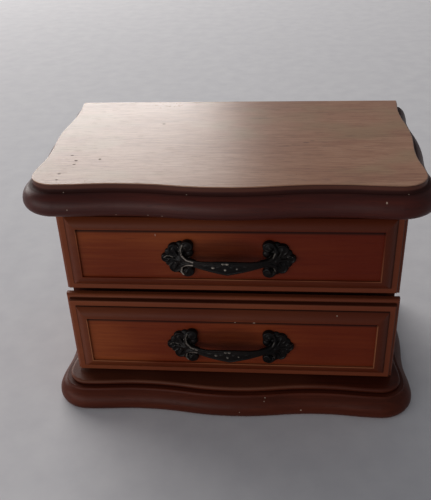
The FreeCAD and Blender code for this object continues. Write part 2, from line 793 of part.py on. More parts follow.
def drawer(name, seat, ajar):
    """All the pieces of one drawer, whose box runs on a seat at a given height."""
    back = f"({CARCASS_FRONT} - stop_gap - {ajar})"
    front_low = f"({seat} + front_gap)"
    low = f"({seat} + run_gap)"
    bottom_low = f"({low} + bottom_height)"
    bottom_top = f"({bottom_low} + bottom_thickness)"
    panel_face = f"({back} - {PANEL_THICKNESS})"
    pull_height = f"({front_low} + front_height / 2 - pull_drop)"
    tongue_low = f"({front_low} + lip_width)"
    screw_xs = ("-pull_spacing / 2", "pull_spacing / 2")

    # Front
    blank = moulded_front(f"{name}_front", ("0 * front_width", back, front_low))
    tools = [board(f"{name}_front_groove",
                   (f"-{TRAY_HALF} - groove_depth", f"{back} - groove_depth", bottom_low),
                   (f"2 * ({TRAY_HALF} + groove_depth)", "groove_depth", "bottom_thickness"))]
    for sign, x in ((-1, f"-{BOX_HALF}"), (1, TRAY_HALF)):
        tools.append(board(f"{name}_front_housing_{sign}", (x, f"{back} - tongue_depth", tongue_low),
                           ("box_side_thickness", "tongue_depth", f"{low} + box_height - {tongue_low}")))
    for number, x in enumerate(screw_xs):
        tools.append(rod(f"{name}_front_bore_{number}", (x, f"{back} + overrun", pull_height), "front",
                         "pull_screw_diameter + 2 * screw_clearance", f"{FRONT_THICKNESS} + 2 * overrun"))
    keep(f"{name}_front", cut(f"{name}_front_cut", blank, tools))

    # Sides, back, bottom and lining
    for word, sign, x, inner in (("left", -1, f"-{BOX_HALF}", f"-{TRAY_HALF} - groove_depth"),
                                 ("right", 1, TRAY_HALF, TRAY_HALF)):
        blank = board(f"{name}_{word}_blank", (x, f"{back} - tongue_depth", low),
                      ("box_side_thickness", f"tongue_depth + {BOX_LENGTH}", "box_height"))
        groove = board(f"{name}_{word}_groove", (inner, f"{back} - tongue_depth", bottom_low),
                       ("groove_depth", f"tongue_depth + {BOX_BACK_REAR}", "bottom_thickness"))
        housing = board(f"{name}_{word}_housing", (inner, f"{back} + {BOX_BACK_FRONT}", bottom_top),
                        ("groove_depth", "box_back_thickness", f"{low} + box_height - {bottom_top}"))
        shoulder = board(f"{name}_{word}_shoulder", (x, f"{back} - tongue_depth", low),
                         ("box_side_thickness", "tongue_depth", f"{tongue_low} - {low}"))
        keep(f"{name}_{word}_side", cut(f"{name}_{word}_cut", blank, [groove, housing, shoulder]))
    keep(f"{name}_back", board(f"{name}_back_board",
                               (f"-{TRAY_HALF} - groove_depth", f"{back} + {BOX_BACK_FRONT}", bottom_top),
                               (f"2 * ({TRAY_HALF} + groove_depth)", "box_back_thickness",
                                f"{low} + box_height - {bottom_top}")))
    keep(f"{name}_bottom", board(f"{name}_bottom_board",
                                 (f"-{TRAY_HALF} - groove_depth", f"{back} - groove_depth", bottom_low),
                                 (f"2 * ({TRAY_HALF} + groove_depth)", f"groove_depth + {BOX_BACK_REAR}",
                                  "bottom_thickness")))
    keep(f"{name}_lining", board(f"{name}_lining_sheet",
                                 (f"-{TRAY_HALF} + lining_gap", f"{back} + lining_gap",
                                  f"{bottom_top} + lining_gap"),
                                 (f"2 * ({TRAY_HALF} - lining_gap)", f"{BOX_BACK_FRONT} - 2 * lining_gap",
                                  "lining_thickness")))

    # Pull and its screws
    pieces = [bow(f"{name}_bow", panel_face, pull_height)]
    for sign in (-1, 1):
        pieces += rosette(f"{name}_rosette_{sign}", sign, panel_face, pull_height)
    sockets = []
    screws = []
    for number, x in enumerate(screw_xs):
        sockets.append(rod(f"{name}_socket_{number}", (x, f"{panel_face} + overrun", pull_height), "front",
                           "pull_screw_diameter + 2 * screw_clearance",
                           "pull_screw_engagement + overrun + screw_clearance"))
        screws.append(headed_pin(f"{name}_screw_{number}", (x, back, pull_height), "front",
                                 "pull_screw_diameter", f"{PANEL_THICKNESS} + pull_screw_engagement",
                                 "pull_head_diameter", "pull_head_height"))
    keep(f"{name}_pull", cut(f"{name}_pull_cast", fused(f"{name}_pull_form", pieces), sockets))
    keep(f"{name}_pull_screws", group(f"{name}_screw_group", screws))


# Build, check and write


top_board()
base_board()
side("left_side", -1)
side("right_side", 1)
back_panel()
shelf_and_rails()
carcass_fasteners()
drawer("upper_drawer", SHELF_TOP, "0 * lower_ajar")
drawer("lower_drawer", "base_thickness", "lower_ajar")
doc.recompute()

faults = [thing.Label for thing in doc.Objects if {"Invalid", "Error"} & set(thing.State)]
for node in nodes:
    if node.Shape.isNull() or not node.Shape.isValid() or node.Shape.Volume <= 0:
        faults.append(node.Label)
if faults:
    raise RuntimeError("failed: " + ", ".join(faults))

os.makedirs("parts", exist_ok=True)
for node in nodes:
    node.Shape.exportStep(f"parts/{node.Label}.step")
    print(f"{node.Label}: {len(node.Shape.Solids)} solids, {node.Shape.Volume:.0f} cubic mm")
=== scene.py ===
"""Looks of a small two-drawer jewelry cabinet: worn stained wood, blackened pulls and felt-lined drawers.

Metres, +Z up, drawer fronts towards -Y. Lengths below are in millimetres and go through MM, apart from those
of the floor and the lamps, which are in metres.
"""
import bmesh
import bpy
import math
from mathutils import Matrix, Vector

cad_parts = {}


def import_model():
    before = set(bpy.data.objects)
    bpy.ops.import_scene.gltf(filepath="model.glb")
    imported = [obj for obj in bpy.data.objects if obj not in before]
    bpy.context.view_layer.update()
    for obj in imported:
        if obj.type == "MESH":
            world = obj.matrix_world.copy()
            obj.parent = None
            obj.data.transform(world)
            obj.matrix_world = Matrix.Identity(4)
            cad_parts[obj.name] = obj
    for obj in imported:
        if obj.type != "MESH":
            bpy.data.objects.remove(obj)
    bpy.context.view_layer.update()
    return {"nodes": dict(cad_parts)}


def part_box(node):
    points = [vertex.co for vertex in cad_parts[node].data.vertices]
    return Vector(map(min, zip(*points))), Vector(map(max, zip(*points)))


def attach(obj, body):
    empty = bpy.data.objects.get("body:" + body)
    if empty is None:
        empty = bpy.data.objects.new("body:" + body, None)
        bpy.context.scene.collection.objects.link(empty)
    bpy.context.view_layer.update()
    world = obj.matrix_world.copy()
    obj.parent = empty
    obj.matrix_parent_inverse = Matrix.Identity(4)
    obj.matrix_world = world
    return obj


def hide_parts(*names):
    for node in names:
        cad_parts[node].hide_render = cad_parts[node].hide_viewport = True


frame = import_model()

MM = 0.001
DRAWERS = ("upper_drawer", "lower_drawer")

# Camera, from a fit to the photograph's edges: turns in radians
PHOTO_LONG_SIDE = 500
SENSOR_WIDTH = 36.0
FOCAL_PIXELS = 694.6
CAMERA_PLACE = (34.43, -454.30, 380.84)
CAMERA_YAW = 0.1063
CAMERA_DIP = 0.5496
CAMERA_ROLL = 0.0434
CAMERA_NEAR = 10.0


# Shader helper


def seen(red, green, blue):
    """A colour as it is seen on screen, as the linear colour that a shader takes."""
    colour = []
    for level in (red, green, blue):
        share = level / 255
        colour.append(share / 12.92 if share <= 0.04045 else ((share + 0.055) / 1.055) ** 2.4)
    return (*colour, 1.0)


# Noises: size per metre along the grain and across it, then detail, roughness and distortion
BANDS = (5.0, 60.0, 4.0, 0.6, 0.6)
STREAKS = (16.0, 420.0, 4.0, 0.65, 0.0)
PORES = (70.0, 1500.0, 2.0, 0.55, 0.0)
CLOUDS = (9.0, 9.0, 2.0, 0.55, 0.0)
FACE_BANDS = (9.0, 62.0, 4.0, 0.6, 0.8)
FACE_FIBRES = (55.0, 850.0, 4.0, 0.7, 0.0)
FACE_DASHES = (95.0, 1100.0, 2.0, 0.55, 0.0)
FACE_TINT = (26.0, 17.0, 2.0, 0.55, 0.0)
VARNISH = (260.0, 260.0, 3.0, 0.55, 0.0)
STEEL_BLOOM = (700.0, 700.0, 4.0, 0.55, 0.0)
CAST_GRAIN = (900.0, 900.0, 3.0, 0.55, 0.0)
PATINA = (90.0, 90.0, 3.0, 0.55, 0.0)
FELT_NAP = (1800.0, 1800.0, 4.0, 0.7, 0.0)
FELT_WISPS = (160.0, 160.0, 4.0, 0.6, 1.5)
FLOOR_WEAVE = (40.0, 40.0, 3.0, 0.55, 0.0)
NOISE_MIDDLE = 0.5
NO_SHIFT = (0.0, 0.0, 0.0)

# How far out a mark on the object keeps its full strength, and the samples that find sheltered places for
# painted shade
MARK_CORE_SHARE = 0.4
SHELTER_SAMPLES = 8


class Shader:
    """A material whose nodes are written as sums."""

    def __init__(self, name):
        self.material = bpy.data.materials.new(name)
        self.material.use_nodes = True
        self.tree = self.material.node_tree
        self.surface = self.tree.nodes["Principled BSDF"]
        self.place = self.tree.nodes.new("ShaderNodeTexCoord").outputs["Object"]
        split = self.add("ShaderNodeSeparateXYZ", {"Vector": self.place})
        self.x, self.y, self.z = split.outputs

    def add(self, kind, inputs, **settings):
        node = self.tree.nodes.new(kind)
        for setting, choice in settings.items():
            setattr(node, setting, choice)
        for socket, value in inputs.items():
            self.put(node.inputs[socket], value)
        return node

    def put(self, socket, value):
        if isinstance(value, bpy.types.NodeSocket):
            self.tree.links.new(value, socket)
        else:
            socket.default_value = value

    def math(self, operation, first, *others):
        """One operation over all the values, from left to right."""
        result = first
        for value in others:
            result = self.add("ShaderNodeMath", {0: result, 1: value}, operation=operation).outputs[0]
        return result

    def total(self, *values):
        return self.math("ADD", *values)

    def times(self, *values):
        return self.math("MULTIPLY", *values)

    def less(self, first, second):
        return self.math("SUBTRACT", first, second)

    def lowest(self, *values):
        return self.math("MINIMUM", *values)

    def highest(self, *values):
        return self.math("MAXIMUM", *values)

    def size_of(self, value):
        return self.add("ShaderNodeMath", {0: value}, operation="ABSOLUTE").outputs[0]

    def vector(self, operation, first, second):
        return self.add("ShaderNodeVectorMath", {0: first, 1: second}, operation=operation).outputs[0]

    def step(self, value, start, end):
        """Rises smoothly from 0 at start to 1 at end, or falls where end is less."""
        flip = end < start
        low, high = sorted((start, end))
        inputs = {"Value": value, "From Min": low, "From Max": high,
                  "To Min": 1.0 if flip else 0.0, "To Max": 0.0 if flip else 1.0}
        return self.add("ShaderNodeMapRange", inputs, interpolation_type="SMOOTHSTEP").outputs["Result"]

    def band(self, value, middle, half_width):
        """One at the middle, and zero from the half width on."""
        return self.step(self.size_of(self.less(value, middle)), half_width, 0.0)

    def noise(self, kind, grain="x", shift=NO_SHIFT):
        """One of the noises above, stretched along the grain and moved aside by the shift."""
        long_scale, cross_scale, detail, roughness, distortion = kind
        scales = tuple(long_scale if axis == grain else cross_scale for axis in "xyz")
        vector = self.vector("MULTIPLY", self.vector("ADD", self.place, shift), scales)
        inputs = {"Vector": vector, "Scale": 1.0, "Detail": detail, "Roughness": roughness,
                  "Distortion": distortion}
        return self.add("ShaderNodeTexNoise", inputs).outputs["Fac"]

    def mark(self, centre, radii):
        """One at a place on the object, fading to zero at the given radii, all in millimetres."""
        middle = tuple(length * MM for length in centre)
        shares = tuple(1 / (radius * MM) for radius in radii)
        scaled = self.vector("MULTIPLY", self.vector("SUBTRACT", self.place, middle), shares)
        reach = self.add("ShaderNodeVectorMath", {0: scaled}, operation="LENGTH").outputs["Value"]
        return self.step(reach, 1.0, MARK_CORE_SHARE)

    def marks(self, places):
        """All the marks of a list of centres and radii."""
        return self.highest(*[self.mark(centre, radii) for centre, radii in places])

    def ramp(self, value, *stops):
        node = self.add("ShaderNodeValToRGB", {"Fac": value})
        points = node.color_ramp.elements
        while len(points) < len(stops):
            points.new(NOISE_MIDDLE)
        for point, (place, colour) in zip(points, stops):
            point.position = place
            point.color = colour
        return node.outputs["Color"]

    def mix(self, share, first, second):
        node = self.add("ShaderNodeMix", {0: share, 6: first, 7: second}, data_type="RGBA")
        return node.outputs[2]

    def hollow_shade(self, distance, start, end):
        """Rises where the surface is sheltered by its own nearby walls: the mask for painted shade."""
        occlusion_shade = self.add("ShaderNodeAmbientOcclusion", {"Distance": distance}, samples=SHELTER_SAMPLES,
                           only_local=True)
        return self.step(occlusion_shade.outputs["AO"], start, end)

    def edge(self, start, end):
        """Rises on sharp outer edges."""
        bend = self.tree.nodes.new("ShaderNodeNewGeometry").outputs["Pointiness"]
        return self.step(bend, start, end)

    def finish(self, colour, roughness, height=None, depth=0.0, **constants):
        self.put(self.surface.inputs["Base Color"], colour)
        self.put(self.surface.inputs["Roughness"], roughness)
        if height is not None:
            bump = self.add("ShaderNodeBump", {"Height": height, "Distance": depth, "Strength": 1.0})
            self.put(self.surface.inputs["Normal"], bump.outputs["Normal"])
        for socket, value in constants.items():
            self.surface.inputs[socket.replace("_", " ")].default_value = value
        return self.material


# Woods

# Where each board lies in the noises, as shares of its seed
SEED_SHARES = (0.37, 0.23, 0.41)

# Figure of a plain board and of a calm one: shares of bands, streaks and clouds, a constant, and of the pores
PLAIN_SHARES = (0.45, 0.3, 0.25, 0.0, 0.45)
CALM_SHARES = (0.2, 0.18, 0.34, 0.14, 0.25)
TONE_STOPS = (0.36, 0.5, 0.64)
PORE_LIMITS = (0.62, 0.72)
PORE_TONE_SHARE = 0.45
STREAK_RELIEF_SHARE = 0.5
PORE_RELIEF_SHARE = 0.7
GRAIN_DEPTH = 0.05

# Gloss of old varnish: shares of clouds and of fine noise, and how far the roughness drifts
CLOUD_GLOSS_SHARE = 0.6
FINE_GLOSS_SHARE = 0.4
GLOSS_SPREAD = 0.2
STAIN_ROUGHNESS = 0.42
STAIN_SPECULAR = 0.13
BOARD_SPECULAR = 0.25

# How strongly a chip shows, how deep it goes beside the grain, how near a wall shelters a surface, and where
# painted shade in sheltered places of the top's and base's edges starts and is full
CHIP_SHARE = 0.7
CHIP_RELIEF_SHARE = 1.5
SHELTER_REACH = 3.0
EDGE_SHADE_LIMITS = (0.8, 0.4)

# Colour of painted shade, and of the dark glaze and arris lines
SHADE_AND_GLAZE = seen(24, 8, 5)
CHIP = seen(196, 172, 152)
CASE_TONES = (seen(66, 27, 16), seen(82, 35, 21), seen(98, 46, 29))
INNER_TONES = (seen(168, 130, 88), seen(188, 150, 106), seen(204, 169, 124))


def wood(name, grain, tones, seed, shares=PLAIN_SHARES, drift=0.0):
    """A board's figure, paler to the left by the drift, which is painted light: its shader, colour, height
    and clouds.
    """
    band_share, streak_share, cloud_share, constant, pore_share = shares
    shader = Shader(name)
    shift = tuple(seed * share for share in SEED_SHARES)
    bands = shader.noise(BANDS, grain, shift)
    streaks = shader.noise(STREAKS, grain, shift)
    clouds = shader.noise(CLOUDS, grain, shift)
    figure = shader.total(shader.times(bands, band_share), shader.times(streaks, streak_share),
                          shader.times(clouds, cloud_share), shader.times(shader.x, -drift), constant)
    colour = shader.ramp(figure, *zip(TONE_STOPS, tones))
    pores = shader.step(shader.noise(PORES, grain, shift), *PORE_LIMITS)
    pore_tone = tuple(level * PORE_TONE_SHARE for level in tones[0][:3]) + (1.0,)
    colour = shader.mix(shader.times(pores, pore_share), colour, pore_tone)
    height = shader.less(shader.times(streaks, STREAK_RELIEF_SHARE), shader.times(pores, PORE_RELIEF_SHARE))
    return shader, colour, height, clouds


def uneven_gloss(shader, base, spread, clouds):
    """Roughness that drifts over the surface as old varnish does."""
    fine = shader.noise(VARNISH)
    drift = shader.total(shader.times(clouds, CLOUD_GLOSS_SHARE), shader.times(fine, FINE_GLOSS_SHARE))
    return shader.total(base, shader.times(shader.less(drift, NOISE_MIDDLE), spread))


# Drawer fronts: how far in from the edge each step of the moulding lies
LIP_STEP = 2.8
STRIP_STEP = 7.4
STRIP_FADE = 0.6
ARRIS_STEP = 15.0
PANEL_STEP = 15.6

# Drawer fronts: half width of the glaze lines, the painted shadow under the top arris, and the rim painted
# paler as highlight and wear
GLAZE_LINE = 0.7
PANEL_SHADE = 2.4
SHADE_MIDDLE_SHARE = 0.7
RIM_LINE = 0.55
RIM_START = 0.5
RIM_FULL = 2.0
RIM_PATCHES = (0.35, 0.55)
# Drawer fronts: where painted shade in the moulding's sheltered places starts and is full
FRONT_SHADE_LIMITS = (0.78, 0.45)

# Drawer fronts: the painted shadow of each pull on its panel, and how far it lies above the middle
PULL_SHADOW_RISE = 4.0
PULL_SHADOW_RADII = (36.0, 24.0, 11.0)

# Drawer fronts: how strongly each layer covers the one under it
STRIP_SHARE = 0.6
OVOLO_SHARE = 0.7
LIP_GLAZE_SHARE = 0.7
GLAZE_AND_SHADE_SHARE = 0.9
PULL_SHADOW_SHARE = 0.45
RIM_SHARE = 0.75
FRONT_CHIP_SHARE = 0.6

FRONT_TONES = (seen(92, 28, 13), seen(108, 42, 19), seen(140, 69, 33))
# How much paler to the left the fronts are painted, as painted light from the left
FRONT_LIGHT_DRIFT = 0.95
FRONT_SEEDS = {"upper_drawer_front": 1, "lower_drawer_front": 2}
OVOLO_TONE = seen(80, 37, 21)
STRIP_TONE = seen(114, 62, 41)
RIM_HIGHLIGHT_AND_WEAR = seen(160, 104, 70)

# Chips seen on the photograph: centre and radii
FRONT_CHIPS = {
    "upper_drawer_front": (
        ((-49.5, -51.2, 143.9), (0.4, 1.0, 1.2)),
        ((-112.0, -46.0, 150.0), (0.6, 2.0, 0.8)),
    ),
    "lower_drawer_front": (
        ((17.5, -57.0, 75.0), (1.2, 1.0, 0.5)),
        ((3.8, -57.0, 75.1), (0.8, 1.0, 0.4)),
        ((76.0, -56.6, 82.5), (0.7, 1.0, 0.5)),
    ),
}


def front_wood(node):
    """A drawer front: orange panel, paler to the left as painted light, browner moulding, dark glaze left in
    the steps, painted shade in sheltered places and under the top arris, a painted shadow of the pull, a rim
    painted paler as highlight and wear, and a few knocks.
    """
    low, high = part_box(node)
    shader, colour, height, clouds = wood(f"{node}_wood", "x", FRONT_TONES, FRONT_SEEDS[node], CALM_SHARES,
                                          FRONT_LIGHT_DRIFT)
    from_top = shader.less(high.z, shader.z)
    inset = shader.lowest(shader.less(shader.x, low.x), shader.less(high.x, shader.x),
                          shader.less(shader.z, low.z), from_top)
    moulding = shader.step(inset, PANEL_STEP * MM, ARRIS_STEP * MM)
    ovolo = shader.times(moulding, shader.step(inset, STRIP_STEP * MM, (STRIP_STEP + STRIP_FADE) * MM))
    colour = shader.mix(shader.times(shader.less(moulding, ovolo), STRIP_SHARE), colour, STRIP_TONE)
    colour = shader.mix(shader.times(ovolo, OVOLO_SHARE), colour, OVOLO_TONE)
    # Painted shadow under the top arris
    shade_middle = PANEL_STEP + PANEL_SHADE * SHADE_MIDDLE_SHARE
    arris_shadow = shader.band(from_top, shade_middle * MM, PANEL_SHADE * MM)
    arris_shadow = shader.times(arris_shadow, shader.step(inset, ARRIS_STEP * MM, PANEL_STEP * MM))
    lip_line = shader.times(shader.band(inset, LIP_STEP * MM, GLAZE_LINE * MM), LIP_GLAZE_SHARE)
    glaze_and_shade = shader.highest(lip_line, shader.band(inset, STRIP_STEP * MM, GLAZE_LINE * MM), arris_shadow)
    # Painted shade in the moulding's sheltered places
    occlusion_shade = shader.times(shader.hollow_shade(SHELTER_REACH * MM, *FRONT_SHADE_LIMITS), moulding)
    # Painted shadow of the pull on the panel, a little above the front's middle
    pull_shadow_height = (low.z + high.z) / 2 / MM + PULL_SHADOW_RISE
    pull_shadow = shader.times(shader.mark((0.0, low.y / MM, pull_shadow_height), PULL_SHADOW_RADII), PULL_SHADOW_SHARE)
    glaze_and_shade = shader.times(shader.highest(glaze_and_shade, occlusion_shade), GLAZE_AND_SHADE_SHARE)
    colour = shader.mix(shader.highest(glaze_and_shade, pull_shadow), colour, SHADE_AND_GLAZE)
    # A rim along the panel's sides and bottom painted paler, as highlight on the arris and wear
    rim = shader.band(inset, (ARRIS_STEP + PANEL_STEP) / 2 * MM, RIM_LINE * MM)
    below_top = shader.step(from_top, (PANEL_STEP + RIM_START) * MM, (PANEL_STEP + RIM_FULL) * MM)
    rim = shader.times(rim, below_top, shader.step(clouds, *RIM_PATCHES))
    colour = shader.mix(shader.times(rim, RIM_SHARE), colour, RIM_HIGHLIGHT_AND_WEAR)
    knocks = shader.marks(FRONT_CHIPS[node])
    colour = shader.mix(shader.times(knocks, FRONT_CHIP_SHARE), colour, CHIP)
    height = shader.less(height, shader.times(knocks, CHIP_RELIEF_SHARE))
    gloss = uneven_gloss(shader, STAIN_ROUGHNESS, GLOSS_SPREAD, clouds)
    return shader.finish(colour, gloss, height, GRAIN_DEPTH * MM, Specular_IOR_Level=STAIN_SPECULAR)


# Top board: depths below its face of the worn face's edge, the arris line, the fillet and the hollow under
# it, where shade is painted
FACE_START = 0.55
FACE_FULL = 0.2
TOP_ARRIS_DEPTH = 0.8
TOP_ARRIS_LINE = 0.4
FILLET_STEP = 3.5
FILLET_FADE = 0.5
HOLLOW_STEP = 5.5

# Top board: figure of the worn face, and how strongly each layer covers the one under it
FACE_SHIFT = (1.1, 0.6, 0.2)
FACE_BAND_SHARE = 0.35
FACE_FIBRE_SHARE = 0.65
TINT_LIMITS = (0.48, 0.68)
TINT_SHARE = 0.5
DASH_LIMITS = (0.58, 0.7)
DASH_SHARE = 0.4
RAGGED_LIMITS = (0.35, 0.6)
FACE_STREAK_SHARE = 0.65
SPECK_SHARE = 0.85
FILLET_SHARE = 0.7
EDGE_GLAZE_AND_SHADE_SHARE = 0.55

# Top board: roughness of the face, and what is added to it
FACE_ROUGHNESS = 0.3
FACE_GLOSS_SPREAD = 0.16
SPECK_DULLING = 0.6
DASH_DULLING = 0.15
EDGE_DULLING = 0.14
HOLLOW_DULLING = 0.4
TOP_GRAIN_DEPTH = 0.04

TOP_SEED = 3
EDGE_TONES = (seen(52, 16, 11), seen(65, 22, 15), seen(82, 31, 20))
FILLET_TONE = seen(92, 52, 39)
FACE_TONES = (seen(146, 102, 82), seen(168, 123, 98), seen(184, 142, 116))
FACE_OLIVE = seen(160, 134, 104)
FACE_PORE = seen(92, 62, 52)
FACE_SPECK = seen(48, 34, 28)

# Marks seen on the top's face: across, deep and two radii, and the depth that they reach
FACE_SPECKS = (
    (-107.3, -24.4, 1.5, 0.9),
    (-102.4, -33.3, 1.7, 1.2),
    (-102.2, -39.3, 1.5, 0.9),
    (-86.5, -30.9, 1.3, 1.3),
    (-108.3, -54.0, 1.4, 1.1),
    (-107.5, -62.9, 1.2, 0.9),
    (-52.2, 33.1, 1.6, 1.1),
)
FACE_STREAKS = (
    (37.0, -9.4, 6.0, 0.8),
    (45.5, -7.4, 4.5, 1.2),
    (52.5, -3.0, 3.0, 1.6),
    (57.0, 0.0, 2.4, 1.1),
    (68.0, -9.0, 7.0, 0.7),
    (62.0, 55.0, 20.0, 1.0),
    (96.0, 62.0, 16.0, 0.9),
    (20.0, 44.0, 14.0, 0.8),
)
FACE_MARK_DEPTH = 1.0

# Chips seen on the top's edge: centre and radii
EDGE_CHIPS = (
    ((-101.7, -70.5, 185.8), (0.5, 0.5, 0.5)),
    ((-22.9, -72.7, 185.7), (0.5, 0.5, 0.5)),
    ((-98.8, -77.5, 176.9), (0.5, 0.5, 0.5)),
    ((-68.4, -74.7, 172.4), (0.55, 0.55, 0.55)),
    ((-47.7, -75.9, 172.7), (0.5, 0.5, 0.5)),
    ((-38.6, -76.8, 172.6), (0.55, 0.55, 0.55)),
    ((99.2, -75.5, 182.3), (0.7, 0.7, 1.4)),
    ((112.5, -70.8, 185.7), (0.5, 0.5, 0.5)),
)


def face_marks(shader, places, face_height):
    """Flat marks on the top's face."""
    return shader.marks([((across, deep, face_height / MM), (long_radius, short_radius, FACE_MARK_DEPTH))
                         for across, deep, long_radius, short_radius in places])


def top_wood():
    """The top board: a pale worn face, and dark stain on its moulded edge, with painted shade in the hollow
    under the fillet and in sheltered places.
    """
    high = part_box("top_board")[1]
    shader, edge_colour, height, clouds = wood("top_board_wood", "x", EDGE_TONES, TOP_SEED)
    bands = shader.noise(FACE_BANDS, "x", FACE_SHIFT)
    fibres = shader.noise(FACE_FIBRES, "x", FACE_SHIFT)
    figure = shader.total(shader.times(bands, FACE_BAND_SHARE), shader.times(fibres, FACE_FIBRE_SHARE))
    face_colour = shader.ramp(figure, *zip(TONE_STOPS, FACE_TONES))
    tint = shader.step(shader.noise(FACE_TINT, "y", FACE_SHIFT), *TINT_LIMITS)
    face_colour = shader.mix(shader.times(tint, TINT_SHARE), face_colour, FACE_OLIVE)
    dashes = shader.step(shader.noise(FACE_DASHES, "x", FACE_SHIFT), *DASH_LIMITS)
    face_colour = shader.mix(shader.times(dashes, DASH_SHARE), face_colour, FACE_PORE)
    ragged = shader.step(fibres, *RAGGED_LIMITS)
    scratches = shader.times(face_marks(shader, FACE_STREAKS, high.z), ragged, FACE_STREAK_SHARE)
    face_colour = shader.mix(scratches, face_colour, FACE_PORE)
    specks = face_marks(shader, FACE_SPECKS, high.z)
    face_colour = shader.mix(shader.times(specks, SPECK_SHARE), face_colour, FACE_SPECK)
    depth = shader.less(high.z, shader.z)
    face = shader.step(depth, FACE_START * MM, FACE_FULL * MM)
    fillet = shader.step(depth, FILLET_STEP * MM, (FILLET_STEP - FILLET_FADE) * MM)
    edge_colour = shader.mix(shader.times(fillet, FILLET_SHARE), edge_colour, FILLET_TONE)
    # Painted shade in the hollow under the fillet and in sheltered places, with a dark line at the arris
    sunk = (FILLET_STEP + HOLLOW_STEP) / 2
    hollow_shade = shader.band(depth, sunk * MM, (HOLLOW_STEP - FILLET_STEP) * MM)
    arris = shader.band(depth, TOP_ARRIS_DEPTH * MM, TOP_ARRIS_LINE * MM)
    occlusion_shade = shader.hollow_shade(SHELTER_REACH * MM, *EDGE_SHADE_LIMITS)
    glaze_and_shade = shader.times(shader.highest(hollow_shade, arris, occlusion_shade), EDGE_GLAZE_AND_SHADE_SHARE)
    edge_colour = shader.mix(glaze_and_shade, edge_colour, SHADE_AND_GLAZE)
    edge_colour = shader.mix(shader.times(shader.marks(EDGE_CHIPS), CHIP_SHARE), edge_colour, CHIP)
    colour = shader.mix(face, edge_colour, face_colour)
    open_grain = shader.total(shader.times(specks, SPECK_DULLING), shader.times(dashes, DASH_DULLING))
    edge_dulling = shader.total(EDGE_DULLING, shader.times(hollow_shade, HOLLOW_DULLING))
    dulled = shader.total(shader.times(face, open_grain), shader.times(shader.less(1.0, face), edge_dulling))
    roughness = shader.total(uneven_gloss(shader, FACE_ROUGHNESS, FACE_GLOSS_SPREAD, clouds), dulled)
    return shader.finish(colour, roughness, height, TOP_GRAIN_DEPTH * MM, Specular_IOR_Level=BOARD_SPECULAR)


# Base board: the rubbed rim of its bead, and the painted shade in its hollow
BASE_RIM_HEIGHT = 19.8
BASE_RIM_LINE = 1.2
BASE_RIM_PATCHES = (0.3, 0.6)
BASE_RIM_SHARE = 0.55
BASE_SHADE_SHARE = 0.3
BASE_SEED = 8
BASE_TONES = (seen(60, 24, 13), seen(75, 31, 18), seen(90, 40, 24))
BASE_RIM = seen(118, 76, 56)

# Chips seen on the base: centre and radii
BASE_CHIPS = (
    ((25.6, -69.1, 14.4), (0.6, 0.6, 0.6)),
    ((25.0, -71.3, 12.8), (0.45, 0.45, 0.6)),
    ((52.4, -71.8, 5.6), (0.8, 0.8, 0.7)),
    ((6.7, -76.2, 5.6), (0.45, 0.45, 0.45)),
)


def base_wood():
    """The base board: dark stain, with painted shade in its hollow, and a few knocks along the front."""
    shader, colour, height, clouds = wood("base_board_wood", "x", BASE_TONES, BASE_SEED)
    # Painted shade in sheltered places
    occlusion_shade = shader.hollow_shade(SHELTER_REACH * MM, *EDGE_SHADE_LIMITS)
    colour = shader.mix(shader.times(occlusion_shade, BASE_SHADE_SHARE), colour, SHADE_AND_GLAZE)
    paled = shader.times(shader.band(shader.z, BASE_RIM_HEIGHT * MM, BASE_RIM_LINE * MM),
                        shader.step(clouds, *BASE_RIM_PATCHES))
    colour = shader.mix(shader.times(paled, BASE_RIM_SHARE), colour, BASE_RIM)
    knocks = shader.marks(BASE_CHIPS)
    colour = shader.mix(shader.times(knocks, CHIP_SHARE), colour, CHIP)
    height = shader.less(height, shader.times(knocks, CHIP_RELIEF_SHARE))
    gloss = uneven_gloss(shader, STAIN_ROUGHNESS, GLOSS_SPREAD, clouds)
    return shader.finish(colour, gloss, height, GRAIN_DEPTH * MM, Specular_IOR_Level=STAIN_SPECULAR)


# Plain boards: grain, tones, seed and roughness
PLAIN_BOARDS = {
    "left_side": ("z", CASE_TONES, 11, 0.45),
    "right_side": ("z", CASE_TONES, 12, 0.45),
    "back_panel": ("x", CASE_TONES, 13, 0.6),
    "inner_cross": ("x", INNER_TONES, 14, 0.65),
    "inner_deep": ("y", INNER_TONES, 15, 0.65),
    "inner_stained": ("x", INNER_TONES, 16, 0.65),
}

# Where the stain on a front edge is full, and where it ends
STAIN_FULL = 0.5
STAIN_END = 2.0


def plain_wood(name, stained_from=None):
    """A flat board with a plain finish, its front edge stained to match the case where that shows."""
    grain, tones, seed, roughness = PLAIN_BOARDS[name]
    shader, colour, height, clouds = wood(f"{name}_wood", grain, tones, seed)
    if stained_from is not None:
        stain = shader.step(shader.y, stained_from + STAIN_END * MM, stained_from + STAIN_FULL * MM)
        colour = shader.mix(stain, colour, CASE_TONES[0])
    gloss = uneven_gloss(shader, roughness, GLOSS_SPREAD, clouds)
    return shader.finish(colour, gloss, height, GRAIN_DEPTH * MM, Specular_IOR_Level=BOARD_SPECULAR)


# Metals and felt
STEEL_TONES = ((0.3, seen(128, 124, 118)), (0.7, seen(182, 178, 170)))
STEEL_ROUGHNESS = 0.3
STEEL_GLOSS_SPREAD = 0.25
STEEL_DEPTH = 0.02

BLACK_TONES = ((0.35, seen(9, 7, 7)), (0.65, seen(22, 16, 14)))
RUBBED_AND_LIT_TONE = seen(176, 164, 152)
RUBBED_EDGE = (0.54, 0.62)
RUBBED_EDGE_SHARE = 0.4
RUBBED_LIMITS = (0.3, 0.5)
BLACK_ROUGHNESS = 0.26
BLACK_GLOSS_SPREAD = 0.2
BLACK_SPECULAR = 0.14
CAST_DEPTH = 0.1

